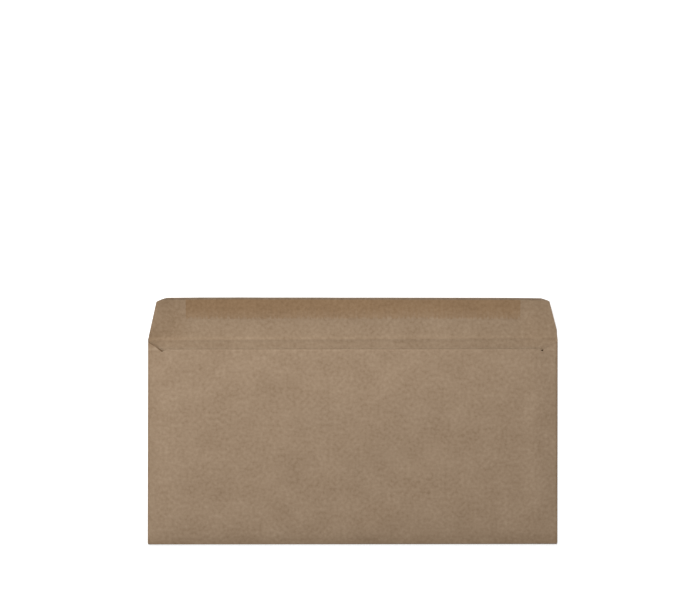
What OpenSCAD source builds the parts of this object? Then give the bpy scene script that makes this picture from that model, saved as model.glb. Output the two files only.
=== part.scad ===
// Window envelope of brown kraft paper, lying on its address side with its gummed flap open.
// X runs along the long side, Y from the bottom fold to the flap, and Z up from the surface.
// The origin is the middle of the footprint. All sizes are in millimetres.

/* [Envelope] */
// Width of the folded envelope
envelope_w = 220; // [160:1:330]
// Height from the bottom fold to the crease of the flap
envelope_h = 110; // [90:1:240]
// Thickness of the paper
paper_t = 0.12; // [0.08:0.01:0.2]
// Thickness of a dried line of glue
glue_t = 0.03; // [0.02:0.01:0.08]

/* [Pocket] */
// Clear height between the front panel and the side flaps
pocket_gap = 0.6; // [0.4:0.1:2]
// How far the back panel bows up at the middle of the mouth
mouth_rise = 1.2; // [0.4:0.1:5]
// Distance from the crease down to the back panel's top edge
throat = 5.5; // [4:0.1:12]
// Width of the sloping shoulder at each end of the back panel's top edge
shoulder_w = 10.4; // [6:0.1:14]
// Slope of the shoulders
shoulder_angle = 24; // [5:1:35]
// How far the back panel's sides lie inside the side folds at the bottom
back_inset_bottom = 0.6; // [0.5:0.1:2]
// How far the back panel's sides lie inside the side folds at the top
back_inset_top = 1.2; // [0.5:0.1:3]

/* [Side flaps] */
// Width of a side flap, folded in under the back panel
side_flap_w = 16; // [14:0.5:24]
// Slope of the ends of a side flap
side_flap_angle = 32.5; // [15:0.5:45]
// Distance from the crease, and from the bottom fold, to the outer end of a side flap
side_flap_end = 1.3; // [1:0.1:4]
// Width of the glue line on a side flap
seam_glue_w = 8; // [4:0.5:9]
// Distance from the side fold to the glue line
seam_glue_in = 4; // [2:0.5:5]
// Distance from the glue line to the sloping ends of the side flap
seam_glue_end = 4; // [3:0.5:10]

/* [Flap] */
// Height of the flap, from the crease to its free edge
flap_h = 22.6; // [18:0.1:45]
// Slant of the flap's ends, away from square to the crease
flap_end_angle = 13; // [5:0.5:20]
// Radius of the wide curve that cuts the flap's corners
flap_corner_r = 24; // [18:1:40]
// Angle between that curve and the flap's free edge, where they meet
flap_corner_angle = 14; // [5:1:25]
// Length that the corner takes off the flap's free edge
flap_corner_run = 5.1; // [3:0.1:7]
// Angle at which the opened flap stands up from the surface
flap_lift = 7; // [2:0.5:40]
// Inner radius of the opened crease
crease_r = 0.4; // [0.2:0.1:2]

/* [Gum] */
// Length of the gum band along the flap
gum_l = 179.4; // [100:0.1:190]
// Height of the gum band
gum_h = 11; // [6:0.5:14]
// Bare paper between the gum and the flap's free edge
gum_in = 0.6; // [0.4:0.1:3]
// Thickness of the dried gum
gum_t = 0.03; // [0.02:0.01:0.1]

/* [Window] */
// Width of the window
window_w = 93; // [50:1:120]
// Height of the window
window_h = 40; // [25:1:50]
// Radius of the window's corners
window_r = 4; // [2:0.5:8]
// Distance from the side fold to the window
window_side = 20.5; // [15:0.5:30]
// Distance from the bottom fold to the window
window_up = 18.8; // [12:0.1:30]
// Width of film hidden behind the paper, all round the window
film_lap = 6; // [4:0.5:9]
// Thickness of the film
film_t = 0.04; // [0.02:0.01:0.08]
// Bare border left on both sides of the glue that holds the film
film_glue_in = 1; // [0.5:0.1:1.5]

/* [Hidden] */
$fn = 96;

// Spare length by which a cutter passes the face that it cuts
spare = 1;

// Levels of the layers above the surface
side_flap_z = paper_t + pocket_gap;
seam_glue_z = side_flap_z + paper_t;
back_z = seam_glue_z + glue_t;

// Each fold is a half turn of paper that joins two levels
side_fold_r = (side_flap_z + paper_t) / 2;
bottom_fold_r = (back_z + paper_t) / 2;

// The footprint is centred on the origin
half_w = envelope_w / 2;
crease_out = crease_r + paper_t;
flap_reach = crease_out * sin(flap_lift) + flap_h * cos(flap_lift);
bottom_y = -(envelope_h + flap_reach) / 2;
crease_y = bottom_y + envelope_h;

// The front panel is flat between the centres of its folds
panel_half_w = half_w - side_fold_r;
panel_bottom_y = bottom_y + bottom_fold_r;

// The back panel tapers from its bottom fold to its shoulders
back_top_y = crease_y - throat;
shoulder_x = half_w - shoulder_w;
shoulder_drop = (shoulder_w - back_inset_top) * tan(shoulder_angle);
bowed_half_w = half_w - side_flap_w;

// Grid of the bowed back panel
bow_columns = 24;
bow_rows = 12;
bow_sharpness = 10;

function mix(a, b, share) = a + (b - a) * share;

// Half the back panel's width at a share of its height, from 0 at the fold to 1 at the top
function back_half_w(share) = half_w - mix(back_inset_bottom, back_inset_top, share);

// How far the back panel bows up: nothing over the seams, and soon its full rise above the fold
function bow(x, share) =
    let (across = min(1, abs(x) / bowed_half_w))
    mouth_rise * pow(1 - pow(across, 4), 2) * (1 - pow(1 - share, bow_sharpness));

// Columns of the grid as shares of the panel's half width, with one at each shoulder and seam
shoulder_share = shoulder_x / back_half_w(1);
bowed_share = bowed_half_w / back_half_w(1);
columns = concat(
    [-1, -shoulder_share],
    [for (i = [0:bow_columns]) mix(-bowed_share, bowed_share, i / bow_columns)],
    [shoulder_share, 1]);

// Rows of the grid as shares of the panel's height, closer together above the fold
rows = [for (i = [0:bow_rows]) pow(i / bow_rows, 2)];

// Point of the back panel's underside in a column and row of the grid
function back_point(column, row) =
    let (
        past_shoulder = max(0, (abs(column) - shoulder_share) / (1 - shoulder_share)),
        top_y = back_top_y - shoulder_drop * past_shoulder,
        x = column * back_half_w(row),
        y = mix(panel_bottom_y, top_y, row)
    )
    [x, y, back_z + bow(x, row)];

// What lies outside a quarter circle, as far out as the reach
module corner_waste(r, reach = spare) {
    difference() {
        square(r + reach);
        circle(r);
    }
}

module rounded_rectangle(w, h, r) {
    difference() {
        square([w, h], center = true);
        for (i = [0, 1], j = [0, 1])
            mirror([i, 0]) mirror([0, j])
                translate([w / 2 - r, h / 2 - r]) corner_waste(r);
    }
}

// Paper bent round an axis along Y through the origin, from straight below it towards +X
module bend(inner_r, angle, length) {
    rotate([90, 0, 0])
        translate([0, 0, -length / 2])
            rotate(-90)
                rotate_extrude(angle = angle)
                    translate([inner_r, 0]) square([paper_t, length]);
}

// Puts a drawing made on the front panel's face in the middle of the window
module at_window() {
    translate([
        half_w - window_side - window_w / 2,
        bottom_y + window_up + window_h / 2
    ])
        children();
}

// Turns what is drawn flat, from the crease at Y = 0, up with the opened flap
module on_flap() {
    translate([0, crease_y, crease_out])
        rotate([flap_lift, 0, 0])
            translate([0, 0, -crease_out])
                children();
}

// Above the side flaps the panel keeps its full width up to the crease
module front_panel() {
    linear_extrude(paper_t)
        difference() {
            union() {
                translate([-panel_half_w, panel_bottom_y])
                    square([2 * panel_half_w, crease_y - panel_bottom_y]);
                translate([-half_w, crease_y - side_flap_end])
                    square([envelope_w, side_flap_end]);
            }
            at_window() rounded_rectangle(window_w, window_h, window_r);
        }
}

module side_flap_outline() {
    inner_x = half_w - side_flap_w;
    outer_x = half_w + spare;
    inner_rise = side_flap_end + side_flap_w * tan(side_flap_angle);
    outer_rise = side_flap_end - spare * tan(side_flap_angle);
    polygon([
        [inner_x, bottom_y + inner_rise],
        [outer_x, bottom_y + outer_rise],
        [outer_x, crease_y - outer_rise],
        [inner_x, crease_y - inner_rise]
    ]);
}

module side_flap() {
    middle_y = (bottom_y + crease_y) / 2;
    intersection() {
        linear_extrude(2 * side_fold_r + spare) side_flap_outline();
        union() {
            translate([panel_half_w, middle_y, side_fold_r])
                bend(side_fold_r - paper_t, 180, envelope_h);
            translate([panel_half_w - side_flap_w, bottom_y, side_flap_z])
                cube([side_flap_w, envelope_h, paper_t]);
        }
    }
}

module back_panel() {
    last_column = len(columns) - 1;
    last_row = len(rows) - 1;
    layer = len(columns) * len(rows);
    function at(i, j, upper) = upper * layer + j * len(columns) + i;

    under = [for (row = rows, column = columns) back_point(column, row)];
    over = [for (p = under) p + [0, 0, paper_t]];

    surfaces = [
        for (j = [0:last_row - 1], i = [0:last_column - 1])
            each [
                [at(i, j, 0), at(i + 1, j, 0), at(i + 1, j + 1, 0)],
                [at(i, j, 0), at(i + 1, j + 1, 0), at(i, j + 1, 0)],
                [at(i, j, 1), at(i + 1, j + 1, 1), at(i + 1, j, 1)],
                [at(i, j, 1), at(i, j + 1, 1), at(i + 1, j + 1, 1)]
            ]
    ];
    bottom_and_top_edges = [
        for (i = [0:last_column - 1])
            each [
                [at(i, 0, 0), at(i, 0, 1), at(i + 1, 0, 1), at(i + 1, 0, 0)],
                [at(i, last_row, 0), at(i + 1, last_row, 0), at(i + 1, last_row, 1), at(i, last_row, 1)]
            ]
    ];
    side_edges = [
        for (j = [0:last_row - 1])
            each [
                [at(0, j, 0), at(0, j + 1, 0), at(0, j + 1, 1), at(0, j, 1)],
                [at(last_column, j, 0), at(last_column, j, 1), at(last_column, j + 1, 1),
                    at(last_column, j + 1, 0)]
            ]
    ];
    polyhedron(concat(under, over), concat(surfaces, bottom_and_top_edges, side_edges));
}

module bottom_fold() {
    translate([0, panel_bottom_y, bottom_fold_r])
        rotate([0, 0, -90])
            bend(bottom_fold_r - paper_t, 180, 2 * back_half_w(0));
}

module flap_outline() {
    top_half_w = half_w - flap_h * tan(flap_end_angle);
    difference() {
        polygon([[-half_w, 0], [half_w, 0], [top_half_w, flap_h], [-top_half_w, flap_h]]);
        for (i = [0, 1])
            mirror([i, 0])
                translate([top_half_w - flap_corner_run, flap_h])
                    rotate(-flap_corner_angle)
                        translate([0, -flap_corner_r])
                            corner_waste(flap_corner_r, flap_corner_run);
    }
}

module flap() {
    translate([0, crease_y, crease_out])
        rotate([0, 0, 90])
            bend(crease_r, flap_lift, envelope_w);
    on_flap() linear_extrude(paper_t) flap_outline();
}

module paper_sheet() {
    color([0.61, 0.52, 0.43]) {
        front_panel();
        for (i = [0, 1])
            mirror([i, 0, 0]) side_flap();
        bottom_fold();
        back_panel();
        flap();
    }
}

module window_film() {
    color([0.86, 0.88, 0.9, 0.4])
        at_window()
            translate([0, 0, paper_t + glue_t])
                linear_extrude(film_t)
                    rounded_rectangle(window_w + 2 * film_lap, window_h + 2 * film_lap, window_r);
}

module window_glue() {
    outer_lap = 2 * (film_lap - film_glue_in);
    inner_lap = 2 * film_glue_in;
    color([0.93, 0.9, 0.82])
        at_window()
            translate([0, 0, paper_t])
                linear_extrude(glue_t)
                    difference() {
                        rounded_rectangle(window_w + outer_lap, window_h + outer_lap, window_r);
                        rounded_rectangle(window_w + inner_lap, window_h + inner_lap, window_r);
                    }
}

module seam_glue() {
    inner_x = half_w - seam_glue_in - seam_glue_w;
    end = side_flap_end + (seam_glue_in + seam_glue_w) * tan(side_flap_angle) + seam_glue_end;
    color([0.93, 0.9, 0.82])
        translate([inner_x, bottom_y + end, seam_glue_z])
            cube([seam_glue_w, envelope_h - 2 * end, glue_t]);
}

module seam_glue_right() {
    seam_glue();
}

module seam_glue_left() {
    mirror([1, 0, 0]) seam_glue();
}

module flap_gum() {
    color([0.57, 0.46, 0.35])
        on_flap()
            translate([-gum_l / 2, flap_h - gum_in - gum_h, paper_t])
                cube([gum_l, gum_h, gum_t]);
}

paper_sheet();
window_film();
window_glue();
seam_glue_left();
seam_glue_right();
flap_gum();
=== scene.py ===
"""Looks of a brown kraft window envelope that lies on its address side with its gummed flap open.

The paper is drawn flat, as it is die-cut, and Geometry Nodes then fold it. The flat sheet has the
front panel in the middle, the back panel below it, the flap above it and a side flap on each side,
and its inside faces up. Lengths are in metres.
"""

import math
import random

import bpy
import numpy as np
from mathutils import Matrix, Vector
from mathutils.geometry import delaunay_2d_cdt


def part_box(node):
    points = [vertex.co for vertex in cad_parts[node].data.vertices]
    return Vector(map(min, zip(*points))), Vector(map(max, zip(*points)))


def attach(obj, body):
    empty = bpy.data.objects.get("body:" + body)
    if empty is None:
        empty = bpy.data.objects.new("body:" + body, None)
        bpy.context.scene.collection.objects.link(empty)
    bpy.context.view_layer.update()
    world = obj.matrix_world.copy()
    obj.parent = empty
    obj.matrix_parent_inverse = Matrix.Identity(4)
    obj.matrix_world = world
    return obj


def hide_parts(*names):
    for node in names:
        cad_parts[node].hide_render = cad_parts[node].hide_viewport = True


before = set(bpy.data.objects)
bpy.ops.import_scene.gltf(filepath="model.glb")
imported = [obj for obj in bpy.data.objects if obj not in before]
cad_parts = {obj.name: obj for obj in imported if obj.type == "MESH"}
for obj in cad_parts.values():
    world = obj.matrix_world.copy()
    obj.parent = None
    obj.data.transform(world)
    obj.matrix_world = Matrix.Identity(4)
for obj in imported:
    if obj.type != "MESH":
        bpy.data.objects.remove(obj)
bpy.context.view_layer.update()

MM = 0.001

# Thicknesses
PAPER = 0.12 * MM
GLUE = 0.03 * MM
GUM = 0.03 * MM

# Outline of the folded envelope
ENVELOPE_H = 110 * MM
THROAT = 5.5 * MM
SHOULDER_W = 10.4 * MM
SHOULDER_ANGLE = math.radians(24)
BACK_INSET_BOTTOM = 0.25 * MM
BACK_INSET_TOP = 1.2 * MM
SIDE_FLAP_W = 16 * MM
SIDE_FLAP_ANGLE = math.radians(32.5)
SIDE_FLAP_END = 1.3 * MM
SIDE_FLAP_FOOT = 0.7 * MM
FILM_LAP = 6 * MM
WINDOW_R = 4 * MM

# Closing flap
FLAP_H = 22.6 * MM
FLAP_END_ANGLE = math.radians(13)
FLAP_CORNER_R = 24 * MM
FLAP_CORNER_ANGLE = math.radians(14)
FLAP_CORNER_RUN = 5.1 * MM
FLAP_LIFT = math.radians(1.5)
FLAP_CURL = math.radians(10.5)
CREASE_R = 0.4 * MM
GUM_FROM_EDGE = 1.1 * MM
GUM_H = 10.9 * MM
GUM_RAGGED = 0.05 * MM
GUM_DRIFT = 0.8
GUM_DRIFT_UP = 0.3 * MM

# Where one side of the outline differs from the other
MOUTH_LEAN = 0.35 * MM
LEFT_FLAP_RUN = 4.2 * MM
LEFT_FLAP_BULGE = 0.35 * MM
RIGHT_FLAP_ANGLE = math.radians(26)
RIGHT_SHOULDER_IN = 0.4 * MM
RIGHT_END_UP = 3.6 * MM
RIGHT_CORNER_RUN = 4.2 * MM

# The crease isn't quite level: its place above the nominal line, and its rise per length
CREASE_UP = 0.11 * MM
CREASE_LEAN = 0.0053

# Heights of the paper's bends and waves, and how far they reach
RELIEF = {
    "Side Slope": 0.09,
    "Side Reach": 11 * MM,
    "Side Softness": 6 * MM,
    "Bow Rise": 0.3 * MM,
    "Bow Sharpness": 16.0,
    "Mouth Drop": 1.0 * MM,
    "Mouth Reach": 32 * MM,
    "Mouth Calm": 0.8,
    "Lip Drop": 0.09 * MM,
    "Wave Height": 1.2 * MM,
    "Wave Size": 34 * MM,
    "Valley Depth": 0.42 * MM,
    "Valley Width": 17 * MM,
    "Valley Foot": 40 * MM,
    "Valley Head": -75 * MM,
    "Crease Ridge": 0.13 * MM,
    "Crease Width": 1.0 * MM,
    "Crease Tent": 0.25 * MM,
    "Tent Width": 5 * MM,
    "End Lift": 1.4 * MM,
    "Tip Lift": 0.3 * MM,
    "Tip Press": 0.35 * MM,
    "Shoulder Puff": 0.25 * MM,
    "Puff Width": 2.5 * MM,
}

# Grain of the paper: the fibres run in three ways, each with its turn and its place in the noise
SPECKLE_SIZE = 1.8 * MM
CLOUD_SIZE = 13 * MM
FIBRE_W = 0.35 * MM
FIBRE_SQUEEZE = 0.12
FIBRE_WAYS = ((0.35, 0.3), (-0.6, 0.7), (1.3, 0.1))

# Painted shade and painted light on the paper, as shares of its tone. The dark line along the
# flap's cut edge is partly the edge's own tone and partly painted shade.
PAINTED_LIGHT_AND_EDGE_TONE = {
    "Flap Edge": 0.25,
    "Flap End Light": 0.1,
    "Mouth Highlight": 0.04,
    "Throat Painted Light": 0.1,
    "Throat End Light": 0.08,
    "Left Foot Shade": 0.09,
    "Right Foot Shade": 0.05,
    "Left Shadow Spot": 0.09,
    "Slant Light": 0.07,
    "Bottom Fold Shade": 0.11,
    "Side Fold Shade": 0.14,
    "Side Band Light": 0.08,
}

# How much darker the side flaps' slanting ends are, on the paper's outer side and its cut edge:
# painted shadow of the gap under them, and partly the cut edge's own tone
SIDE_FLAP_SHADE = 0.75

# Mesh of the flat sheet
MESH_STEP = 2 * MM
GUM_STEP = 1.2 * MM
RIM_STEPS = (0.35 * MM, 0.9 * MM)
FOLD_STEPS = 12
CORNER_STEPS = 10
CREASE_STEPS = [up * MM for up in (-2.2, -1.6, -1.2, -0.8, -0.4, 0, 0.4, 0.8, 1.2, 1.6, 2.2)]
LIP_STEPS = [up * MM for up in (0.2, 0.5, 0.8, 1.2)]
SHARP_ANGLE = math.radians(40)

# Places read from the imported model
sheet_low, sheet_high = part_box("paper_sheet")
film_low, film_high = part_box("window_film")
_, gum_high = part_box("flap_gum")
seam_low, seam_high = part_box("seam_glue_right")

half_w = sheet_high.x
bottom_y = sheet_low.y
crease_y = bottom_y + ENVELOPE_H
sheet_z = PAPER / 2

# Radii at the middle of the paper: each fold joins the front panel to a layer above it
side_fold_r = (seam_low.z - PAPER) / 2
bottom_fold_r = seam_high.z / 2
crease_fold_r = CREASE_R + PAPER / 2
side_fold_arc = math.pi * side_fold_r
bottom_fold_arc = math.pi * bottom_fold_r
crease_arc = FLAP_LIFT * crease_fold_r

# Places on the flat sheet
panel_half_w = half_w - side_fold_r - PAPER / 2
side_fold_x = panel_half_w + side_fold_arc / 2
panel_bottom_y = bottom_y + bottom_fold_r + PAPER / 2
flap_y = crease_y + crease_arc
flap_edge_y = flap_y + FLAP_H
back_fold_y = panel_bottom_y - bottom_fold_arc
throat_y = crease_y - THROAT
back_length = throat_y - panel_bottom_y
back_top_y = back_fold_y - back_length
bowed_half_w = half_w - SIDE_FLAP_W
shoulder_x = half_w - SHOULDER_W
shoulder_drop = (SHOULDER_W - BACK_INSET_TOP) * math.tan(SHOULDER_ANGLE)
gum_half_l = gum_high.x
gum_top_y = flap_edge_y - GUM_FROM_EDGE
gum_low_y = gum_top_y - GUM_H


class Wiring:
    """Adds nodes to a tree. A value for a socket is a number, a vector or another node's output."""

    def __init__(self, tree):
        self.tree = tree

    def add(self, kind, values=None, **settings):
        node = self.tree.nodes.new(kind)
        for name, value in settings.items():
            setattr(node, name, value)
        for socket, value in (values or {}).items():
            self.feed(node.inputs[socket], value)
        return node

    def feed(self, socket, value):
        if isinstance(value, bpy.types.NodeSocket):
            self.tree.links.new(value, socket)
        else:
            socket.default_value = value

    def place(self, kind, tree, values):
        """Places a node group with its own values, and gives its outputs."""
        return self.add(kind, values, node_tree=tree).outputs

    def calc(self, operation, *values):
        return self.add("ShaderNodeMath", dict(enumerate(values)), operation=operation).outputs[0]

    def product(self, first, *others):
        for other in others:
            first = self.calc("MULTIPLY", first, other)
        return first

    def total(self, first, *others):
        for other in others:
            first = self.calc("ADD", first, other)
        return first

    def difference(self, first, second):
        return self.calc("SUBTRACT", first, second)

    def rest(self, share):
        """What the share leaves of 1."""
        return self.difference(1.0, share)

    def vector(self, operation, *values):
        return self.add("ShaderNodeVectorMath", dict(enumerate(values)), operation=operation)

    def tinted(self, colour, tint):
        """One colour times another, part by part."""
        return self.vector("MULTIPLY", colour, tint).outputs["Vector"]

    def parts(self, vector):
        return self.add("ShaderNodeSeparateXYZ", {0: vector}).outputs

    def joined(self, x=0.0, y=0.0, z=0.0):
        return self.add("ShaderNodeCombineXYZ", {0: x, 1: y, 2: z}).outputs[0]

    def ramp(self, value, low, high, to_low=0.0, to_high=1.0, smooth=True):
        """The value's share of the way from low to high, held within them, between two results."""
        kind = "SMOOTHSTEP" if smooth else "LINEAR"
        node = self.add("ShaderNodeMapRange", interpolation_type=kind)
        for index, number in enumerate((value, low, high, to_low, to_high)):
            self.feed(node.inputs[index], number)
        return node.outputs[0]

    def bell(self, value, centre, width):
        """1 at the centre, falling to nothing over about two widths on both sides."""
        off = self.calc("DIVIDE", self.difference(value, centre), width)
        return self.calc("EXPONENT", self.product(off, off, -1.0))

    def band(self, value, start, full, fade, end):
        """1 from full to fade, falling smoothly to nothing at the start and at the end."""
        return self.product(self.ramp(value, start, full), self.ramp(value, end, fade))

    def mixed(self, share, colour, other):
        """The first colour, or as much of the other as the share says."""
        node = self.add("ShaderNodeMix", {0: share}, data_type="RGBA", clamp_factor=True)
        node.inputs["A"].default_value = colour
        node.inputs["B"].default_value = other
        return node.outputs["Result"]

    def noise(self, vector, size, detail):
        """Soft noise from 0 to 1 whose patches are about the given size."""
        settings = {"Vector": vector, "Detail": detail, "Scale": self.calc("DIVIDE", 1.0, size)}
        return self.add("ShaderNodeTexNoise", settings).outputs[0]

    def uneven(self, vector, size, height, detail=1.0):
        """Noise about zero, with the given height from its lows to its highs."""
        return self.product(self.difference(self.noise(vector, size, detail), 0.5), height)

    def bump(self, height, distance):
        node = self.add("ShaderNodeBump", {"Height": height, "Distance": distance})
        return node.outputs["Normal"]


def new_group(name, kind, inputs, outputs):
    """A node group with named sockets: its wiring, what it is given and its output node."""
    tree = bpy.data.node_groups.new(name, kind)
    for sockets, side in ((inputs, "INPUT"), (outputs, "OUTPUT")):
        for socket_name, socket_kind in sockets.items():
            socket_type = "NodeSocket" + socket_kind
            tree.interface.new_socket(socket_name, in_out=side, socket_type=socket_type)
    wiring = Wiring(tree)
    given = wiring.add("NodeGroupInput").outputs
    result = wiring.add("NodeGroupOutput")
    return wiring, given, result


def floats(*names):
    """Number sockets with these names."""
    return {name: "Float" for name in names}


# Flat outlines, as lists of points


def stations(start, stop, step):
    """Evenly spaced numbers from start to stop, about a step apart."""
    count = max(1, round(abs(stop - start) / step))
    return [start + (stop - start) * i / count for i in range(count + 1)]


def divided(loop, step):
    """The closed loop with points added, so that none is more than a step from the next."""
    rounding = 1e-6
    points = []
    for (x0, y0), (x1, y1) in zip(loop, loop[1:] + loop[:1]):
        count = max(1, math.ceil(math.dist((x0, y0), (x1, y1)) / step - rounding))
        for share in [i / count for i in range(count)]:
            points.append((x0 + (x1 - x0) * share, y0 + (y1 - y0) * share))
    return points


def moved_in(loop, distance):
    """The loop moved to its left by the distance: inwards where it runs anticlockwise."""
    sharpest = 0.5
    points = []
    for before, here, after in zip(loop[-1:] + loop[:-1], loop, loop[1:] + loop[:1]):
        into = (Vector(here) - Vector(before)).normalized()
        out = (Vector(after) - Vector(here)).normalized()
        left = Vector((-into.y - out.y, into.x + out.x)).normalized()
        reach = distance / max(sharpest, left.dot(Vector((-into.y, into.x))))
        points.append(tuple(Vector(here) + left * reach))
    return points


def arc(centre, radius, start, stop, count):
    angles = [start + (stop - start) * i / count for i in range(count + 1)]
    return [(centre[0] + radius * math.cos(a), centre[1] + radius * math.sin(a)) for a in angles]


def flap_corner(run):
    """The flap's corner on the right, from its slanting end to its free edge.

    It is a wide curve with a kink at each end, and shortens the free edge by the run.
    """
    slope = math.tan(FLAP_END_ANGLE)
    start = math.pi / 2 - FLAP_CORNER_ANGLE
    centre_x = half_w - FLAP_H * slope - run - FLAP_CORNER_R * math.cos(start)
    centre_up = FLAP_H - FLAP_CORNER_R * math.sin(start)
    spare = half_w - centre_up * slope - centre_x
    kink = FLAP_END_ANGLE + math.acos(spare * math.cos(FLAP_END_ANGLE) / FLAP_CORNER_R)
    return arc((centre_x, flap_y + centre_up), FLAP_CORNER_R, kink, start, CORNER_STEPS)


def right_side(
    mouth_lean=0.0,
    shoulder_in=0.0,
    flap_angle=SIDE_FLAP_ANGLE,
    end_up=0.0,
    corner_run=FLAP_CORNER_RUN,
):
    """The right half of the sheet's outline, from the mouth's edge up to the flap's free edge."""
    side_reach = panel_half_w + side_fold_arc + panel_half_w - bowed_half_w
    foot_slope = SIDE_FLAP_END + SIDE_FLAP_W * math.tan(SIDE_FLAP_ANGLE)
    return [
        (shoulder_x - shoulder_in, back_top_y - mouth_lean),
        (half_w - BACK_INSET_TOP, back_top_y + shoulder_drop),
        (half_w - BACK_INSET_BOTTOM, back_fold_y),
        (half_w - BACK_INSET_BOTTOM, panel_bottom_y),
        (side_fold_x, bottom_y + SIDE_FLAP_FOOT),
        (side_reach, bottom_y + foot_slope),
        (side_reach, crease_y - SIDE_FLAP_END - SIDE_FLAP_W * math.tan(flap_angle)),
        (side_fold_x, crease_y - SIDE_FLAP_END),
        (side_fold_x, crease_y),
        (half_w, flap_y + end_up),
    ] + flap_corner(corner_run)


def sheet_outline():
    """The die-cut sheet, anticlockwise: back panel at the bottom, flap at the top.

    It isn't quite the same on both sides. On the right the mouth's edge reaches further up, its
    shoulder starts further in, the side flap's end is less steep, and the flap's end bends off
    above its foot. On the left the side flap's end bulges.
    """
    right = right_side(
        mouth_lean=MOUTH_LEAN,
        shoulder_in=RIGHT_SHOULDER_IN,
        flap_angle=RIGHT_FLAP_ANGLE,
        end_up=RIGHT_END_UP,
        corner_run=RIGHT_CORNER_RUN,
    )
    left = [(-x, y) for x, y in right_side()]
    slope_start = left.index((-side_fold_x, crease_y - SIDE_FLAP_END))
    straight_y = crease_y - SIDE_FLAP_END - LEFT_FLAP_RUN * math.tan(SIDE_FLAP_ANGLE)
    left.insert(slope_start, (-side_fold_x - LEFT_FLAP_RUN, straight_y + LEFT_FLAP_BULGE))
    return right + left[::-1]


def window_outline():
    """The window hole, clockwise, so that its left is in the paper."""
    low_x, high_x = film_low.x + FILM_LAP, film_high.x - FILM_LAP
    low_y, high_y = film_low.y + FILM_LAP, film_high.y - FILM_LAP
    quarter = math.pi / 2
    corners = [
        (high_x - WINDOW_R, low_y + WINDOW_R, 0),
        (low_x + WINDOW_R, low_y + WINDOW_R, -quarter),
        (low_x + WINDOW_R, high_y - WINDOW_R, -2 * quarter),
        (high_x - WINDOW_R, high_y - WINDOW_R, -3 * quarter),
    ]
    return [p for x, y, a in corners for p in arc((x, y), WINDOW_R, a, a - quarter, CORNER_STEPS)]


def gum_outline():
    """The gum band, anticlockwise. Its lower edge is as ragged as the roller left it."""
    chance = random.Random(7)
    lower = []
    drift = 0.0
    for x in stations(-gum_half_l, gum_half_l, GUM_STEP):
        drift = GUM_DRIFT * drift + chance.uniform(-GUM_RAGGED, GUM_RAGGED)
        lower.append((x, gum_low_y + max(0.0, drift + GUM_DRIFT_UP)))
    return lower + [(gum_half_l, gum_top_y), (-gum_half_l, gum_top_y)]


def glue_outline(low_x, high_x):
    """A seam's glue line, anticlockwise."""
    return [(low_x, seam_low.y), (high_x, seam_low.y), (high_x, seam_high.y), (low_x, seam_high.y)]


def bend_lines():
    """Lines across the sheet where it bends, each as two ends: the mesh gets an edge along each."""
    wide = half_w + SIDE_FLAP_W
    lines = []
    for share in [i / FOLD_STEPS for i in range(FOLD_STEPS + 1)]:
        y = panel_bottom_y - share * bottom_fold_arc
        lines.append(((-wide, y), (wide, y)))
        for side in (-1, 1):
            x = side * (panel_half_w + share * side_fold_arc)
            lines.append(((x, bottom_y), (x, crease_y)))
    for step in CREASE_STEPS:
        y = crease_y + CREASE_UP + step
        lines.append(((-wide, y - CREASE_LEAN * wide), (wide, y + CREASE_LEAN * wide)))
    for step in LIP_STEPS:
        y = back_top_y + step
        lines.append(((-shoulder_x, y), (shoulder_x, y - MOUTH_LEAN)))
    return lines


# Flat meshes


def edge_distance(points, loops):
    """Distance from each point to the nearest side of any of the loops."""
    nearest = np.full(len(points), np.inf)
    for loop in loops:
        for here, there in zip(np.array(loop), np.array(loop[1:] + loop[:1])):
            along = there - here
            share = ((points - here) @ along / (along @ along)).clip(0, 1)
            off = points - here - share[:, None] * along
            nearest = np.minimum(nearest, np.linalg.norm(off, axis=1))
    return nearest


def inside(points, loop):
    """Which points lie inside the closed loop."""
    x, y = points.T
    within = np.zeros(len(points), bool)
    for (x0, y0), (x1, y1) in zip(loop, loop[1:] + loop[:1]):
        if y0 != y1:
            crosses = (y0 > y) != (y1 > y)
            within ^= crosses & (x < x0 + (y - y0) * (x1 - x0) / (y1 - y0))
    return within


def loose_grid(loops, lines, step):
    """Grid points that keep clear of the rings along the edges, and of the bend lines."""
    low, high = np.min(loops[0], axis=0), np.max(loops[0], axis=0)
    columns, rows = stations(low[0], high[0], step), stations(low[1], high[1], step)
    grid = np.array([(x, y) for x in columns for y in rows])
    clear = edge_distance(grid, loops) > RIM_STEPS[-1] + step / 3
    for start, end in lines:
        level = 0 if start[0] == end[0] else 1
        clear &= abs(grid[:, level] - start[level]) > step / 4
    return [tuple(p) for p in grid[clear]]


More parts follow.
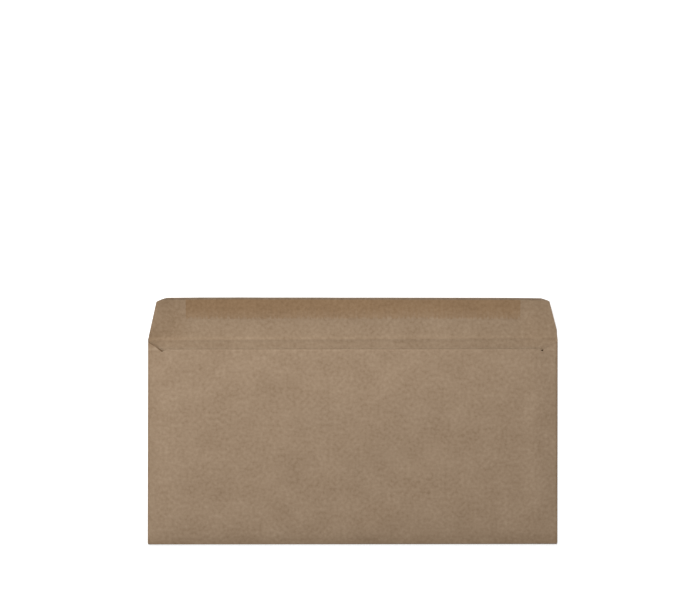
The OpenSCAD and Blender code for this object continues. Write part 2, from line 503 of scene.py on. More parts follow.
def flat_mesh(name, outline, holes, lines, step, height):
    """A flat mesh inside the outline, with rings along its edges and an edge along each line.

    Its flat places are kept in a UV map, and the nearness of its edge in an attribute.
    """
    loops = [outline] + holes
    points = loose_grid(loops, lines, step)
    edges = []
    for loop in loops:
        for distance in (0,) + RIM_STEPS:
            ring = divided(moved_in(loop, distance), step)
            first = len(points)
            points += ring
            edges += [(first + i, first + (i + 1) % len(ring)) for i in range(len(ring))]
    for start, end in lines:
        first = len(points)
        count = math.ceil(math.dist(start, end) / step)
        points += [tuple(p) for p in np.linspace(start, end, count + 1)]
        edges += [(first + i, first + i + 1) for i in range(count)]

    # The cut is made in millimetres, so that its rounding is fine enough
    rounding = 1e-5
    cut = delaunay_2d_cdt([Vector(p) / MM for p in points], edges, [], 0, rounding)
    flat = np.array([tuple(p) for p in cut[0]]) * MM
    triangles = np.array(cut[2])
    centres = flat[triangles].mean(axis=1)
    kept = inside(centres, outline)
    for hole in holes:
        kept &= ~inside(centres, hole)
    used, triangles = np.unique(triangles[kept], return_inverse=True)
    flat = flat[used]

    mesh = bpy.data.meshes.new(name)
    mesh.from_pydata([(x, y, height) for x, y in flat], [], triangles.reshape(-1, 3).tolist())
    corners = np.array([loop.vertex_index for loop in mesh.loops])
    layer = mesh.uv_layers.new(name="flat")
    layer.uv.foreach_set("vector", flat[corners].astype(np.float32).ravel())
    rim = 1 - (edge_distance(flat, loops) / RIM_STEPS[-1]).clip(0, 1)
    mesh.attributes.new("rim", "FLOAT", "POINT").data.foreach_set("value", rim.astype(np.float32))
    return mesh


# Folding, as Geometry Nodes


def fold_group():
    """Rolls the part of a flat sheet that lies beyond a line round an axis above it."""
    inputs = {"Geometry": "Geometry", "Line": "Vector", "Outward": "Vector"}
    inputs.update(floats("Radius", "Angle"))
    w, given, result = new_group("Fold", "GeometryNodeTree", inputs, {"Geometry": "Geometry"})
    place = w.add("GeometryNodeInputPosition").outputs[0]
    offset = w.vector("SUBTRACT", place, given["Line"]).outputs["Vector"]
    beyond = w.vector("DOT_PRODUCT", offset, given["Outward"]).outputs["Value"]
    height = w.parts(offset)["Z"]

    turned = w.calc("MAXIMUM", w.calc("DIVIDE", beyond, given["Radius"]), 0.0)
    turned = w.calc("MINIMUM", turned, given["Angle"])
    rolled = w.product(given["Radius"], given["Angle"])
    straight = w.calc("MAXIMUM", w.difference(beyond, rolled), 0.0)
    inner = w.difference(given["Radius"], height)
    sine = w.calc("SINE", turned)
    cosine = w.calc("COSINE", turned)

    along = w.calc("MULTIPLY_ADD", inner, sine, w.calc("MINIMUM", beyond, 0.0))
    along = w.calc("MULTIPLY_ADD", straight, cosine, along)
    up = w.difference(given["Radius"], w.product(inner, cosine))
    up = w.calc("MULTIPLY_ADD", straight, sine, up)

    slide = w.vector("SCALE", given["Outward"])
    w.feed(slide.inputs["Scale"], w.difference(along, beyond))
    rise = w.joined(z=w.difference(up, height))
    move = w.vector("ADD", slide.outputs["Vector"], rise).outputs["Vector"]
    moved = w.add("GeometryNodeSetPosition", {"Geometry": given["Geometry"], "Offset": move})
    w.feed(result.inputs["Geometry"], moved.outputs["Geometry"])
    return w.tree


def above_fold(w, given, share):
    """How much of its full height the paper has at a share of the way from the bottom fold."""
    return w.rest(w.calc("POWER", w.rest(share), given["Bow Sharpness"]))


def above_side(w, given, distance):
    """The slope that a side flap and the back panel on it have, away from the side fold."""
    run = w.calc("MAXIMUM", distance, 0.0)
    run = w.calc("SMOOTH_MIN", run, given["Side Reach"], given["Side Softness"])
    return w.product(run, given["Side Slope"])


def back_relief(w, given, x, y, waves):
    """The back panel's height: it bows between the side flaps, and has a valley and a lip."""
    from_middle = w.calc("ABSOLUTE", x)
    share = w.ramp(y, back_fold_y, back_top_y, smooth=False)
    foot_x, head_x = given["Valley Foot"], given["Valley Head"]
    valley_x = w.ramp(share, 0.0, 1.0, to_low=foot_x, to_high=head_x, smooth=False)
    valley = w.product(w.bell(x, valley_x, given["Valley Width"]), w.ramp(share, 1.0, 0.6))
    valley = w.product(valley, given["Valley Depth"])

    # The mouth lies lower than the rest, waves less, and has a narrow lip that turns down
    right_y = back_top_y - MOUTH_LEAN
    lip_y = w.ramp(x, -shoulder_x, shoulder_x, to_low=back_top_y, to_high=right_y, smooth=False)
    from_lip = w.difference(y, lip_y)
    at_mouth = w.ramp(from_lip, given["Mouth Reach"], -4 * MM)
    calmed = w.product(waves, w.rest(w.product(at_mouth, given["Mouth Calm"])))
    bow = w.difference(w.total(given["Bow Rise"], calmed), valley)
    lip = w.product(w.ramp(from_lip, LIP_STEPS[-1], 0.0), given["Lip Drop"])
    bow = w.difference(bow, w.total(lip, w.product(at_mouth, given["Mouth Drop"])))

    # The bow is flat in the middle and dies away at the side flaps, where the panel has their slope
    flatness, softness = 4.0, 2.0
    across = w.calc("MINIMUM", w.calc("DIVIDE", from_middle, bowed_half_w), 1.0)
    crown = w.calc("POWER", w.rest(w.calc("POWER", across, flatness)), softness)
    slope = above_side(w, given, w.difference(panel_half_w, from_middle))
    on_back = w.calc("LESS_THAN", y, back_fold_y + MM)
    back = w.total(w.product(crown, bow), w.product(slope, on_back))

    # The shoulders puff up beside the mouth
    at_shoulder = w.bell(from_middle, shoulder_x + 1.5 * MM, given["Puff Width"])
    near_mouth = w.ramp(y, back_top_y + 6 * MM, back_top_y)
    puff = w.product(at_shoulder, given["Shoulder Puff"], near_mouth)
    return w.total(w.product(above_fold(w, given, share), back), puff)


def flap_relief(w, given, x, y, waves):
    """The flap's height: it waves more away from the crease, and its ends stand up."""
    up_flap = w.ramp(y, crease_y, crease_y + FLAP_H, smooth=False)
    end = w.product(w.ramp(w.calc("ABSOLUTE", x), 0.7 * half_w, half_w), given["End Lift"])
    return w.product(up_flap, w.total(end, waves))


def side_relief(w, given, x, y):
    """The side flaps' height: they rise from their folds, and more at the left one's upper tip."""
    at_tip = w.ramp(y, crease_y - 9 * MM, crease_y)
    left = w.product(w.ramp(x, -half_w, -half_w - 6 * MM), given["Tip Lift"])
    right = w.product(w.ramp(x, half_w, half_w + 4 * MM), given["Tip Press"])
    tip = w.product(w.difference(left, right), at_tip)
    past_fold = w.difference(w.calc("ABSOLUTE", x), panel_half_w + side_fold_arc)
    share = w.ramp(y, panel_bottom_y, panel_bottom_y + back_length, smooth=False)
    return w.total(tip, w.product(above_side(w, given, past_fold), above_fold(w, given, share)))


def crease_relief(w, given, x, y):
    """The crease's height: a narrow raised line on the inner side, on the top of a low ridge.

    It ends at the side folds, and is lower towards the right.
    """
    ridge_y = w.total(w.product(x, CREASE_LEAN), CREASE_UP, crease_y)
    off_crease = w.calc("DIVIDE", w.calc("ABSOLUTE", w.difference(y, ridge_y)), given["Tent Width"])
    tent = w.product(w.calc("EXPONENT", w.product(off_crease, -1.0)), given["Crease Tent"])
    line = w.product(w.bell(y, ridge_y, given["Crease Width"]), given["Crease Ridge"])
    on_panel = w.ramp(w.calc("ABSOLUTE", x), half_w, panel_half_w - 3 * MM)
    to_right = w.ramp(x, 40 * MM, 95 * MM, to_low=1.0, to_high=0.65)
    return w.product(w.total(line, tent), on_panel, to_right)


def relief_group():
    """Heights that the sheet gets while it is flat. What folds over is then still inside up."""
    inputs = {"Geometry": "Geometry", **floats(*RELIEF)}
    w, given, result = new_group("Relief", "GeometryNodeTree", inputs, {"Geometry": "Geometry"})
    place = w.add("GeometryNodeInputPosition").outputs[0]
    x, y, _ = w.parts(place)
    waves = w.uneven(place, given["Wave Size"], given["Wave Height"])
    raised = w.total(flap_relief(w, given, x, y, waves), crease_relief(w, given, x, y))
    turned_over = w.total(back_relief(w, given, x, y, waves), side_relief(w, given, x, y))
    rise = w.joined(z=w.difference(raised, turned_over))
    moved = w.add("GeometryNodeSetPosition", {"Geometry": given["Geometry"], "Offset": rise})
    w.feed(result.inputs["Geometry"], moved.outputs["Geometry"])
    return w.tree


def envelope_tree():
    """Gives the flat sheet its relief, curls the flap and folds it, the outermost fold first."""
    inputs = {"Geometry": "Geometry", **floats("Flap Lift", "Flap Curl"), "Material": "Material"}
    outputs = {"Geometry": "Geometry"}
    w, given, result = new_group("Envelope Folds", "GeometryNodeTree", inputs, outputs)
    fold = fold_group()
    relief = {"Geometry": given["Geometry"], **RELIEF}
    paper = w.place("GeometryNodeGroup", relief_group(), relief)["Geometry"]
    curl_r = w.calc("DIVIDE", FLAP_H, given["Flap Curl"])
    folds = (
        ((0, flap_y), (0, 1), curl_r, given["Flap Curl"]),
        ((0, crease_y), (0, 1), crease_fold_r, given["Flap Lift"]),
        ((-panel_half_w, 0), (-1, 0), side_fold_r, math.pi),
        ((panel_half_w, 0), (1, 0), side_fold_r, math.pi),
        ((0, panel_bottom_y), (0, -1), bottom_fold_r, math.pi),
    )
    for line, outward, radius, angle in folds:
        values = {"Geometry": paper, "Line": (*line, sheet_z), "Outward": (*outward, 0)}
        values.update({"Radius": radius, "Angle": angle})
        paper = w.place("GeometryNodeGroup", fold, values)["Geometry"]
    whole = w.add("GeometryNodeRealizeInstances", {"Geometry": paper}).outputs[0]
    dressed = w.add("GeometryNodeSetMaterial", {"Geometry": whole, "Material": given["Material"]})
    w.feed(result.inputs["Geometry"], dressed.outputs["Geometry"])
    return w.tree


def folded_piece(name, mesh, tree, materials, thickness):
    """The flat mesh folded, given its thickness and made a plain mesh.

    The materials are for the side that faces up when the sheet is flat, for its other side and for
    its cut edge, or one material for all three.
    """
    shape = bpy.data.objects.new(name + "_flat", mesh)
    bpy.context.collection.objects.link(shape)
    for material in materials:
        mesh.materials.append(material)
    folds = shape.modifiers.new("Folds", "NODES")
    folds.node_group = tree
    values = {"Flap Lift": FLAP_LIFT, "Flap Curl": FLAP_CURL, "Material": materials[0]}
    for socket in tree.interface.items_tree:
        if socket.in_out == "INPUT" and socket.name in values:
            folds[socket.identifier] = values[socket.name]
    wall = shape.modifiers.new("Wall", "SOLIDIFY")
    wall.thickness = thickness
    wall.offset = 0
    wall.material_offset = min(1, len(materials) - 1)
    wall.material_offset_rim = min(2, len(materials) - 1)
    evaluated = shape.evaluated_get(bpy.context.evaluated_depsgraph_get())
    solid = bpy.data.meshes.new_from_object(evaluated)
    bpy.data.objects.remove(shape)
    solid.shade_smooth()
    solid.set_sharp_from_angle(angle=SHARP_ANGLE)
    piece = bpy.data.objects.new(name, solid)
    bpy.context.collection.objects.link(piece)
    return piece


# Shader groups that several finishes share


def fibre_group():
    """Speckle, long fibres and cloudy patches of paper, as a tone about 1 and a height about 0."""
    inputs = {"Vector": "Vector", **floats("Speckle", "Fibres", "Clouds")}
    w, given, result = new_group("Paper Fibres", "ShaderNodeTree", inputs, floats("Tone", "Height"))
    speckle = w.uneven(given["Vector"], SPECKLE_SIZE, 1.0, detail=2.5)
    clouds = w.uneven(given["Vector"], CLOUD_SIZE, 1.0, detail=4.0)
    strands = []
    for turn, seed in FIBRE_WAYS:
        vector = w.add("ShaderNodeMapping", {"Vector": given["Vector"]})
        vector.inputs["Location"].default_value = (seed, seed, 0)
        vector.inputs["Rotation"].default_value = (0, 0, turn)
        vector.inputs["Scale"].default_value = (FIBRE_SQUEEZE, 1, 1)
        lines = w.noise(vector.outputs[0], FIBRE_W, detail=1.0)
        strands.append(w.ramp(lines, 0.6, 0.78))
    fibres = w.total(*strands)
    tone = w.total(
        1.0,
        w.product(speckle, given["Speckle"]),
        w.product(fibres, given["Fibres"]),
        w.product(clouds, given["Clouds"]),
    )
    w.feed(result.inputs["Tone"], tone)
    w.feed(result.inputs["Height"], w.total(speckle, w.product(fibres, 0.4)))
    return w.tree


def ripple_group():
    """Streaks and ripples along one direction, as films and dried coatings have."""
    inputs = {"Vector": "Vector", **floats("Length", "Width")}
    w, given, result = new_group("Ripples", "ShaderNodeTree", inputs, floats("Streaks", "Height"))
    x, y, _ = w.parts(given["Vector"])
    squeezed = w.joined(w.calc("DIVIDE", x, given["Width"]), w.calc("DIVIDE", y, given["Length"]))
    streaks = w.noise(squeezed, 1.0, detail=2.0)
    swell = w.noise(squeezed, 4.0, detail=1.0)
    w.feed(result.inputs["Streaks"], w.ramp(streaks, 0.3, 0.7))
    w.feed(result.inputs["Height"], w.total(streaks, swell))
    return w.tree


def flap_shade_and_edge_tone(w, given, x, y):
    """How much darker the flap is along its cut edge and at its left end, and how grey its edge is.

    The dark edge is partly the cut edge's own tone and partly a painted shadow line, and is less
    dark beyond the gum. The left end is darker with painted shade, and painted light makes the flap
    a little lighter towards its right end.
    """
    at_edge = w.ramp(y, flap_edge_y - 1.4 * MM, flap_edge_y - MM)
    gummed = w.ramp(w.calc("ABSOLUTE", x), half_w, 0.8 * half_w, to_low=0.4)
    edge = w.product(at_edge, gummed, given["Flap Edge"])
    grey_edge = w.product(at_edge, w.ramp(y, flap_edge_y - 2.6 * MM, flap_edge_y, to_low=0.6))
    left_end = w.ramp(x, -0.72 * half_w, -0.95 * half_w)
    to_right = w.ramp(x, -0.2 * half_w, 0.5 * half_w, to_high=-0.4)
    on_flap = w.ramp(y, flap_y, flap_y + 2 * MM)
    ends = w.product(on_flap, w.total(left_end, to_right), given["Flap End Light"])
    return edge, ends, grey_edge


def throat_light(w, given, x, y):
    """Painted light on the throat in three places, which lightens shade that falls there."""
    # Painted light along the mouth's edge, where the lip shades it
    at_mouth = w.band(y, throat_y - MM, throat_y, throat_y, throat_y + 2.2 * MM)
    mouth_light = w.product(at_mouth, given["Throat Painted Light"])

    # Painted light near its right end
    in_throat = w.band(y, throat_y, throat_y + MM, flap_y, flap_y + 3 * MM)
    near_end = w.band(x, 86 * MM, 92 * MM, 99 * MM, 104 * MM)
    end = w.product(in_throat, near_end, given["Throat End Light"])

    # Painted light just above the right side flap's slanting end, where its edge shades the throat
    above = w.calc("MULTIPLY_ADD", w.difference(half_w, x), math.tan(RIGHT_FLAP_ANGLE), y)
    above = w.difference(above, crease_y - SIDE_FLAP_END)
    on_slant = w.band(x, 103.5 * MM, 105.5 * MM, half_w - MM, half_w)
    slant = w.product(w.bell(above, 0.45 * MM, 0.5 * MM), on_slant, given["Slant Light"])
    return mouth_light, end, slant


def foot_shade(w, given, x, y):
    """Painted shade round the flap's two feet, with a painted shadow spot at the left one."""
    left_low_y, right_low_y = crease_y - 4.6 * MM, crease_y - 7 * MM
    low_y = w.ramp(x, 0.0, MM, to_low=left_low_y, to_high=right_low_y)
    above_low = w.ramp(w.difference(y, low_y), 0.0, 0.6 * MM)
    up = w.product(w.ramp(y, flap_y + 9 * MM, flap_y + 3 * MM), above_low)
    out = w.ramp(w.calc("ABSOLUTE", x), half_w - 8 * MM, half_w - 3 * MM)
    strength = w.ramp(x, 0.0, MM, to_low=given["Left Foot Shade"], to_high=given["Right Foot Shade"])
    shadow_spot = w.product(w.bell(x, -105 * MM, 3.5 * MM), w.bell(y, crease_y + 0.6 * MM, 2 * MM))
    return w.total(w.product(up, out, strength), w.product(shadow_spot, given["Left Shadow Spot"]))


def fold_shade(w, given, x, y):
    """Painted shade at the bottom fold and at the side folds, where the paper turns from the light.

    The bottom fold's painted shade reaches further up on the right, its brink is darker there, and
    the paper above its middle has a little painted shade too.
    """
    from_fold = w.difference(back_fold_y, y)
    reach = w.calc("MULTIPLY_ADD", w.bell(x, 78 * MM, 25 * MM), 5 * MM, 6 * MM)
    to_right = w.ramp(x, -50 * MM, 20 * MM, to_low=1.0, to_high=2.3)
    brink = w.product(w.ramp(from_fold, 0.3 * MM, -0.4 * MM), to_right)
    middle_shade = w.product(w.bell(x, 14 * MM, 28 * MM), w.ramp(from_fold, 24 * MM, 8 * MM), 0.45)
    bottom = w.total(w.ramp(from_fold, reach, 0.0), brink, middle_shade)
    bottom = w.product(bottom, w.ramp(y, panel_bottom_y + MM, panel_bottom_y), given["Bottom Fold Shade"])
    from_side = w.calc("ABSOLUTE", w.difference(w.calc("ABSOLUTE", x), side_fold_x))
    sides = w.product(w.ramp(from_side, 1.8 * MM, 0.4 * MM), w.ramp(y, crease_y, crease_y - 2 * MM))
    return bottom, w.product(sides, given["Side Fold Shade"])


def band_light(w, given, x, y):
    """Painted light on the back panel, halfway up, where the side flaps lie under it."""
    on_flaps = w.ramp(w.calc("ABSOLUTE", x), half_w - 22 * MM, half_w - 14 * MM)
    off_ends = w.band(x, -half_w + 3 * MM, -half_w + 9 * MM, half_w - 15 * MM, half_w - 8 * MM)
    halfway = w.bell(y, back_fold_y - ENVELOPE_H / 2, 32 * MM)
    return w.product(on_flaps, off_ends, halfway, given["Side Band Light"])


def side_flap_shade(w, given, x, y):
    """Painted shadow along the side flaps' slanting ends: the left all along, the right at its tip.

    The left one's dark line, partly the cut edge's own tone, is thinner at the fold, and faint a
    little way in.
    """
    past_fold = w.difference(w.calc("ABSOLUTE", x), half_w)
    on_end = w.ramp(past_fold, 0.3 * MM, 1.2 * MM)
    on_end = w.product(on_end, w.ramp(y, crease_y - 16 * MM, crease_y - 14 * MM))
    faint = w.product(w.bell(past_fold, 4.3 * MM, 1.4 * MM), 0.4)
    left = w.difference(w.ramp(past_fold, 0.0, 8 * MM, to_low=0.8, to_high=0.85), faint)
    left = w.product(w.ramp(x, 0.0, -MM), left)
    right = w.product(w.ramp(x, 0.0, MM), w.ramp(past_fold, 7.8 * MM, 8.6 * MM, to_high=1.25))
    rim_from = w.ramp(past_fold, 0.0, 8 * MM, to_low=0.6, to_high=0.0)
    line = w.ramp(w.difference(given["Rim"], rim_from), 0.0, 0.3)
    return w.product(on_end, w.total(left, right), line, given["Side Flap Edge Shadow"])


def tone_and_painted_light_group():
    """Tone of the paper by its place on the flat sheet: painted shade and painted light at its
    folds, feet, mouth, throat and flap ends, and the flap's darker cut edge, partly painted shade.

    It also says where the flap's edge is greyer, and where the paper has yellowed.
    """
    inputs = {"Vector": "Vector", **floats("Rim", *PAINTED_LIGHT_AND_EDGE_TONE, "Side Flap Edge Shadow")}
    outputs = floats("Tone", "Grey Edge", "Yellowed")
    w, given, result = new_group("Tone And Painted Light", "ShaderNodeTree", inputs, outputs)
    x, y, _ = w.parts(given["Vector"])
    flap_edge, flap_ends, grey_edge = flap_shade_and_edge_tone(w, given, x, y)
    # A painted highlight along the mouth's edge
    at_mouth = w.ramp(y, back_top_y + 3 * MM, back_top_y + 2 * MM)
    mouth_highlight = w.product(at_mouth, w.ramp(given["Rim"], 0.2, 0.9), given["Mouth Highlight"])
    darker = [flap_edge, flap_ends, foot_shade(w, given, x, y)]
    darker += [*fold_shade(w, given, x, y), side_flap_shade(w, given, x, y)]
    lighter = w.total(1.0, mouth_highlight, *throat_light(w, given, x, y), band_light(w, given, x, y))
    w.feed(result.inputs["Tone"], w.product(lighter, *[w.rest(share) for share in darker]))
    w.feed(result.inputs["Grey Edge"], grey_edge)

    # The flap and the throat have yellowed at their ends
    ends = w.ramp(w.calc("ABSOLUTE", x), 0.78 * half_w, 0.86 * half_w)
    w.feed(result.inputs["Yellowed"], w.product(w.ramp(y, throat_y, flap_y), ends))
    return w.tree


# Finishes


def srgb(*levels):
    """The linear colour of sRGB levels from 0 to 255."""
    shares = [level / 255 for level in levels]
    return [s / 12.92 if s <= 0.04045 else ((s + 0.055) / 1.055) ** 2.4 for s in shares] + [1.0]


KRAFT_INSIDE = srgb(154, 131, 106)
KRAFT_OUTSIDE = srgb(156.5, 133.5, 109)
KRAFT_EDGE = srgb(140, 121, 101)
KRAFT_GREY_EDGE = srgb(150, 131.5, 111.5)
KRAFT_GRAIN = {"Speckle": 0.62, "Fibres": 0.03, "Clouds": 0.36}
KRAFT_RED_DEPTH = 0.85
KRAFT_BLUE_DEPTH = 1.22
YELLOWED_GREEN = -0.013
YELLOWED_BLUE = -0.03
BARE = (1, 1, 1, 1)
GUM_TINT = (0.84, 0.737, 0.6, 1)
GLUE_COLOUR = srgb(206, 196, 172)
GLUE_GRAIN = {"Speckle": 0.1, "Fibres": 0.02, "Clouds": 0.2}
FILM_HAZE = srgb(178, 175, 167)
FILM_IOR = 1.49


def new_material(name):
    """A material with one surface shader: its wiring and that shader."""
    material = bpy.data.materials.new(name)
    material.use_nodes = True
    w = Wiring(material.node_tree)
    return material, w, material.node_tree.nodes["Principled BSDF"]


def kraft_tones(w, tone):
    """The tone for red, green and blue: dark kraft is browner, so the tone acts most on blue."""
    return w.calc("POWER", tone, KRAFT_RED_DEPTH), tone, w.calc("POWER", tone, KRAFT_BLUE_DEPTH)


def kraft_material(name, colour, groups, side_flap_edge_shadow):
    material, w, surface = new_material(name)
    flat = w.add("ShaderNodeUVMap", uv_map="flat").outputs[0]
    rim = w.add("ShaderNodeAttribute", attribute_name="rim").outputs["Fac"]
    grain = w.place("ShaderNodeGroup", groups["fibres"], {"Vector": flat, **KRAFT_GRAIN})
    settings = {"Vector": flat, "Rim": rim, **PAINTED_LIGHT_AND_EDGE_TONE, "Side Flap Edge Shadow": side_flap_edge_shadow}
    tone_and_light = w.place("ShaderNodeGroup", groups["tone_and_light"], settings)
    # The tone holds the grain, painted shade and painted light, and the flap's darker edge
    red, green, blue = kraft_tones(w, w.product(grain["Tone"], tone_and_light["Tone"]))
    green = w.product(green, w.calc("MULTIPLY_ADD", tone_and_light["Yellowed"], YELLOWED_GREEN, 1.0))
    blue = w.product(blue, w.calc("MULTIPLY_ADD", tone_and_light["Yellowed"], YELLOWED_BLUE, 1.0))
    paper = w.mixed(tone_and_light["Grey Edge"], colour, KRAFT_GREY_EDGE)
    w.feed(surface.inputs["Base Color"], w.tinted(paper, w.joined(red, green, blue)))
    w.feed(surface.inputs["Normal"], w.bump(grain["Height"], 0.03 * MM))
    surface.inputs["Roughness"].default_value = 0.85
    surface.inputs["Specular IOR Level"].default_value = 0.25
    surface.inputs["Sheen Weight"].default_value = 0.05
    return material


def gum_material(groups):
    """Amber gum, thick along the flap's edge, that thins out in streaks at its lower edge."""
    material, w, surface = new_material("Dried gum")
    flat = w.add("ShaderNodeUVMap", uv_map="flat").outputs[0]
    x, y, _ = w.parts(flat)
    grain = w.place("ShaderNodeGroup", groups["fibres"], {"Vector": flat, **KRAFT_GRAIN})
    ripples = {"Vector": flat, "Length": 9 * MM, "Width": 1.3 * MM}
    coat = w.place("ShaderNodeGroup", groups["ripples"], ripples)

    # From the lower edge up it soon gets thick, and then slowly thicker
    streaks = w.product(w.difference(coat["Streaks"], 0.5), 2 * MM)
    up = w.total(w.difference(y, gum_low_y), streaks)
    edge = w.ramp(up, 0.0, 1.6 * MM, to_low=0.15, to_high=0.7)
    amount = w.total(edge, w.ramp(up, 1.2 * MM, 7 * MM, to_high=0.3))
    # Painted light: the gum is lighter from its left towards its middle and right
    tone = w.product(grain["Tone"], w.ramp(x, -70 * MM, 0.0, to_low=0.98, to_high=1.07))
    paper = w.tinted(KRAFT_INSIDE[:3], w.joined(*kraft_tones(w, tone)))
    w.feed(surface.inputs["Base Color"], w.tinted(w.mixed(amount, BARE, GUM_TINT), paper))
    w.feed(surface.inputs["Roughness"], w.ramp(coat["Streaks"], 0.0, 1.0, to_low=0.45, to_high=0.6))
    w.feed(surface.inputs["Normal"], w.bump(w.total(coat["Height"], grain["Height"]), 0.01 * MM))
    surface.inputs["Specular IOR Level"].default_value = 0.3
    return material


def film_material(groups):
    """Clear, rippled film with a slight haze."""
    material, w, surface = new_material("Window film")
    place = w.add("ShaderNodeTexCoord").outputs["Object"]
    ripples = {"Vector": place, "Length": 60 * MM, "Width": 7 * MM}
    coat = w.place("ShaderNodeGroup", groups["ripples"], ripples)
    haze = w.noise(place, 22 * MM, detail=3.0)
    w.feed(surface.inputs["Alpha"], w.ramp(haze, 0.3, 0.7, to_low=0.09, to_high=0.16))
    w.feed(surface.inputs["Roughness"], w.ramp(haze, 0.3, 0.7, to_low=0.06, to_high=0.16))
    w.feed(surface.inputs["Normal"], w.bump(coat["Height"], 0.12 * MM))
    surface.inputs["Base Color"].default_value = FILM_HAZE
    surface.inputs["IOR"].default_value = FILM_IOR
    surface.inputs["Specular IOR Level"].default_value = 0.8
    return material


def glue_material(groups):
    """Translucent glue that dried in streaks."""
    material, w, surface = new_material("Dry glue")
    place = w.add("ShaderNodeTexCoord").outputs["Object"]
    ripples = {"Vector": place, "Length": 14 * MM, "Width": 1.6 * MM}
    coat = w.place("ShaderNodeGroup", groups["ripples"], ripples)
    grain = w.place("ShaderNodeGroup", groups["fibres"], {"Vector": place, **GLUE_GRAIN})
    tone = grain["Tone"]
    w.feed(surface.inputs["Base Color"], w.tinted(GLUE_COLOUR[:3], w.joined(tone, tone, tone)))
    w.feed(surface.inputs["Alpha"], w.ramp(coat["Streaks"], 0.0, 1.0, to_low=0.45, to_high=0.75))
    w.feed(surface.inputs["Normal"], w.bump(coat["Height"], 0.02 * MM))
    surface.inputs["Roughness"].default_value = 0.4
    return material


# The envelope


def dress(node, material):
    """Gives a CAD node's object a new finish."""
    for slot in bpy.data.objects[node].material_slots:
        slot.material = material


groups = {"fibres": fibre_group(), "ripples": ripple_group(), "tone_and_light": tone_and_painted_light_group()}
folds = envelope_tree()

kraft = (
    kraft_material("Kraft paper inside", KRAFT_INSIDE, groups, 0.0),
    kraft_material("Kraft paper outside", KRAFT_OUTSIDE, groups, SIDE_FLAP_SHADE),
    kraft_material("Kraft paper cut edge", KRAFT_EDGE, groups, SIDE_FLAP_SHADE),
)
holes = [window_outline()]
blank = flat_mesh("kraft_blank", sheet_outline(), holes, bend_lines(), MESH_STEP, sheet_z)
kraft_sheet = folded_piece("kraft_sheet", blank, folds, kraft, PAPER)
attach(kraft_sheet, "root")
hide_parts("paper_sheet")

gum_z = sheet_z + (PAPER + GUM) / 2
gum_flat = flat_mesh("gum_flat", gum_outline(), [], [], MESH_STEP, gum_z)
gum_band = folded_piece("gum_band", gum_flat, folds, (gum_material(groups),), GUM)
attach(gum_band, "root")
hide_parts("flap_gum")

# The glue lines lie on the side flaps' outer sides, and are folded in with them
dry_glue = glue_material(groups)
glue_z = sheet_z - (PAPER + GLUE) / 2
glue_far_x = 2 * panel_half_w + side_fold_arc - seam_low.x
glue_near_x = 2 * panel_half_w + side_fold_arc - seam_high.x
for side, ends in (("left", (-glue_far_x, -glue_near_x)), ("right", (glue_near_x, glue_far_x))):
    glue_flat = flat_mesh("glue_flat_" + side, glue_outline(*ends), [], [], MESH_STEP, glue_z)
    glue_line = folded_piece("seam_" + side, glue_flat, folds, (dry_glue,), GLUE)
    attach(glue_line, "root")
    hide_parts("seam_glue_" + side)

dress("window_film", film_material(groups))
dress("window_glue", dry_glue)


# Floor, light and camera

FLOOR_TONE = (0.86, 0.86, 0.86, 1)
FLOOR_GLOW = 0.5
FLOOR_REACH = 6.0
FLOOR_Z = -0.02 * MM
LAMP_SIZE = 0.4
LAMPS = (("top_light", (-0.10, 0.42, 0.32), 2.2), ("left_light", (-0.60, 0.15, 0.22), 0.95))
SKY_STRENGTH = 0.47
CAMERA_PLACE = (-0.01734, 0.06485, 0.88769)
CAMERA_TURN = (0, math.radians(-1.004), math.radians(0.08))


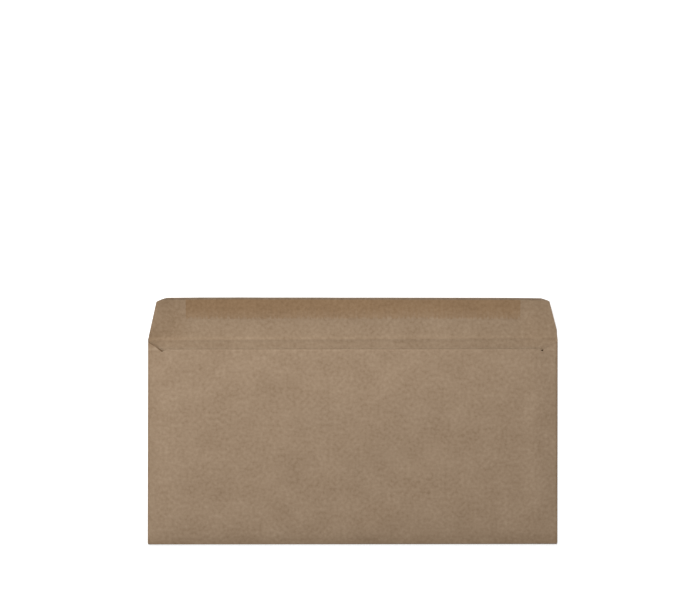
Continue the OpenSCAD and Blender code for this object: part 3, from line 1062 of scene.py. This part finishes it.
def make_floor():
    """A pale floor that shows the shadow, and that the camera, gloss and clear film see lit."""
    material, w, surface = new_material("Pale floor")
    rays = w.add("ShaderNodeLightPath").outputs
    seen = w.calc("MAXIMUM", rays["Is Camera Ray"], rays["Is Glossy Ray"])
    seen = w.calc("MAXIMUM", seen, rays["Is Transmission Ray"])
    surface.inputs["Base Color"].default_value = FLOOR_TONE
    surface.inputs["Roughness"].default_value = 0.9
    surface.inputs["Specular IOR Level"].default_value = 0.0
    surface.inputs["Emission Color"].default_value = (1, 1, 1, 1)
    w.feed(surface.inputs["Emission Strength"], w.product(seen, FLOOR_GLOW))
    mesh = bpy.data.meshes.new("floor")
    signs = ((-1, -1), (1, -1), (1, 1), (-1, 1))
    corners = [(x * FLOOR_REACH, y * FLOOR_REACH, FLOOR_Z) for x, y in signs]
    mesh.from_pydata(corners, [], [(0, 1, 2, 3)])
    mesh.materials.append(material)
    floor = bpy.data.objects.new("floor", mesh)
    bpy.context.collection.objects.link(floor)


def make_lamp(name, place, power):
    """A round lamp that shines at the middle of the envelope, and that the camera doesn't see."""
    lamp = bpy.data.lights.new(name, "AREA")
    lamp.shape = "DISK"
    lamp.size = LAMP_SIZE
    lamp.energy = power
    holder = bpy.data.objects.new(name, lamp)
    holder.location = place
    holder.rotation_euler = (-Vector(place)).to_track_quat("-Z", "Y").to_euler()
    holder.visible_camera = False
    bpy.context.collection.objects.link(holder)


def make_world():
    """Even light from all round, which the camera sees as white."""
    world = bpy.data.worlds.new("Studio")
    world.use_nodes = True
    w = Wiring(world.node_tree)
    background = world.node_tree.nodes["Background"]
    seen = w.add("ShaderNodeLightPath").outputs["Is Camera Ray"]
    background.inputs["Color"].default_value = (1, 1, 1, 1)
    strength = w.ramp(seen, 0.0, 1.0, to_low=SKY_STRENGTH, to_high=1.0, smooth=False)
    w.feed(background.inputs["Strength"], strength)
    bpy.context.scene.world = world


def make_camera():
    """Looks down from above the envelope, one degree off the plumb line."""
    camera = bpy.data.cameras.new("camera")
    camera.lens = 85.0
    camera.sensor_width = 36.0
    camera.clip_start = 0.01
    holder = bpy.data.objects.new("camera", camera)
    holder.location = CAMERA_PLACE
    holder.rotation_euler = CAMERA_TURN
    bpy.context.collection.objects.link(holder)
    bpy.context.scene.camera = holder


make_floor()
for name, place, power in LAMPS:
    make_lamp(name, place, power)
make_world()
make_camera()
bpy.context.scene.view_settings.view_transform = "Standard"
